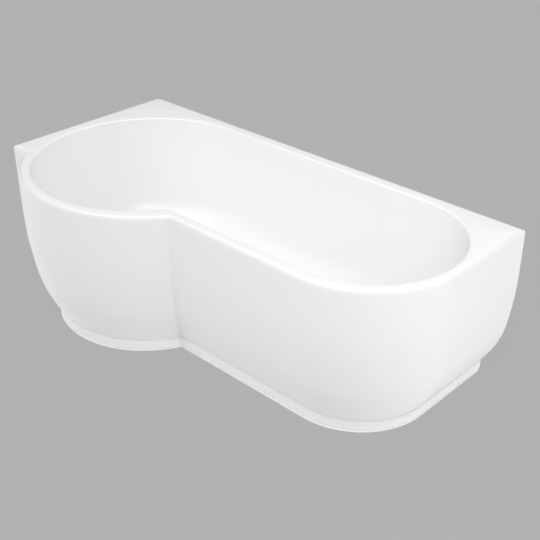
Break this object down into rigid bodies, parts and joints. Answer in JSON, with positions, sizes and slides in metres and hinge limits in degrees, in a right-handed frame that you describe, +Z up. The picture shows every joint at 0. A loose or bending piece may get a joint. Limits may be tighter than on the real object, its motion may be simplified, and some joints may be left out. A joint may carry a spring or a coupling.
{
  "type": "shower bath",
  "caption": "P-shaped back-to-wall shower bath in white acrylic with a wide round end, a one-piece skirt tucked in to a low plinth, leg cradles, trap and pop-up waste.",
  "frame": {"origin": "on the floor under the middle of the rim's bounding box", "axes": "+X along the back wall to the narrow round-cornered end, +Y towards the back wall, +Z up"},
  "size_m": [1.7, 0.885, 0.565],
  "materials": {
    "acrylic": "gloss white sanitary acrylic backed with glass fibre",
    "sealant": "grey sanitary sealant",
    "board": "pressed wood board under a resin coat",
    "galvanised": "galvanised steel sheet",
    "zinc": "bright zinc plated steel",
    "foot_plastic": "moulded black plastic",
    "white_plastic": "moulded white polypropylene",
    "hose_plastic": "ribbed pale grey plastic",
    "chrome": "polished chrome plate",
    "rubber": "black sealing rubber"
  },
  "bodies": {
    "bath": {"tub_shell": "acrylic", "skirt_shell": "acrylic", "joint_seal": "sealant", "base_board": "board", "cradle_left": "galvanised", "cradle_middle": "galvanised", "cradle_right": "galvanised", "cradle_screws": "zinc", "leg_nuts": "zinc", "waste_flange": "chrome", "waste_top_seal": "rubber", "waste_under_seal": "rubber", "waste_body": "white_plastic", "trap_nut": "white_plastic", "trap_washer": "rubber", "trap_body": "white_plastic", "trap_clean_out": "foot_plastic", "trap_outlet_nut": "white_plastic", "overflow_plate": "chrome", "overflow_front_seal": "rubber", "overflow_rear_seal": "rubber", "overflow_body": "white_plastic", "overflow_hose": "hose_plastic", "hose_clip_upper": "zinc", "hose_clip_lower": "zinc", "wall_bracket_back_left": "galvanised", "wall_bracket_back_right": "galvanised", "wall_bracket_side": "galvanised", "deck_board_left": "board", "deck_board_right": "board", "skirt_cleat_bow": "galvanised", "skirt_cleat_front": "galvanised", "skirt_cleat_end": "galvanised"},
    "foot_1": {"leg_rod_1": "zinc", "foot_pad_1": "foot_plastic"},
    "foot_2": {"leg_rod_2": "zinc", "foot_pad_2": "foot_plastic"},
    "foot_3": {"leg_rod_3": "zinc", "foot_pad_3": "foot_plastic"},
    "foot_4": {"leg_rod_4": "zinc", "foot_pad_4": "foot_plastic"},
    "foot_5": {"leg_rod_5": "zinc", "foot_pad_5": "foot_plastic"},
    "foot_6": {"leg_rod_6": "zinc", "foot_pad_6": "foot_plastic"},
    "knob": {"overflow_knob": "chrome"},
    "plug": {"waste_plug": "chrome", "plug_seal": "rubber"}
  },
  "joints": [
    {"name": "foot_1_height", "type": "slide", "parent": "bath", "child": "foot_1", "axis": [0, 0, 1], "range_m": [-0.02, 0.004]},
    {"name": "foot_2_height", "type": "slide", "parent": "bath", "child": "foot_2", "axis": [0, 0, 1], "range_m": [-0.02, 0.004]},
    {"name": "foot_3_height", "type": "slide", "parent": "bath", "child": "foot_3", "axis": [0, 0, 1], "range_m": [-0.02, 0.004]},
    {"name": "foot_4_height", "type": "slide", "parent": "bath", "child": "foot_4", "axis": [0, 0, 1], "range_m": [-0.02, 0.004]},
    {"name": "foot_5_height", "type": "slide", "parent": "bath", "child": "foot_5", "axis": [0, 0, 1], "range_m": [-0.02, 0.004]},
    {"name": "foot_6_height", "type": "slide", "parent": "bath", "child": "foot_6", "axis": [0, 0, 1], "range_m": [-0.02, 0.004]},
    {"name": "knob_turn", "type": "hinge", "parent": "bath", "child": "knob", "pos_m": [0.80641, 0.099, 0.478], "axis": [-0.9931, 0, 0.1175], "range_deg": [0, 75]},
    {"name": "plug_lift", "type": "slide", "parent": "bath", "child": "plug", "axis": [0, 0, 1], "range_m": [0, 0.01]}
  ],
  "couplings": [
    {"joint": "plug_lift", "follows": "knob_turn", "m_per_rad": 0.0076394}
  ]
}
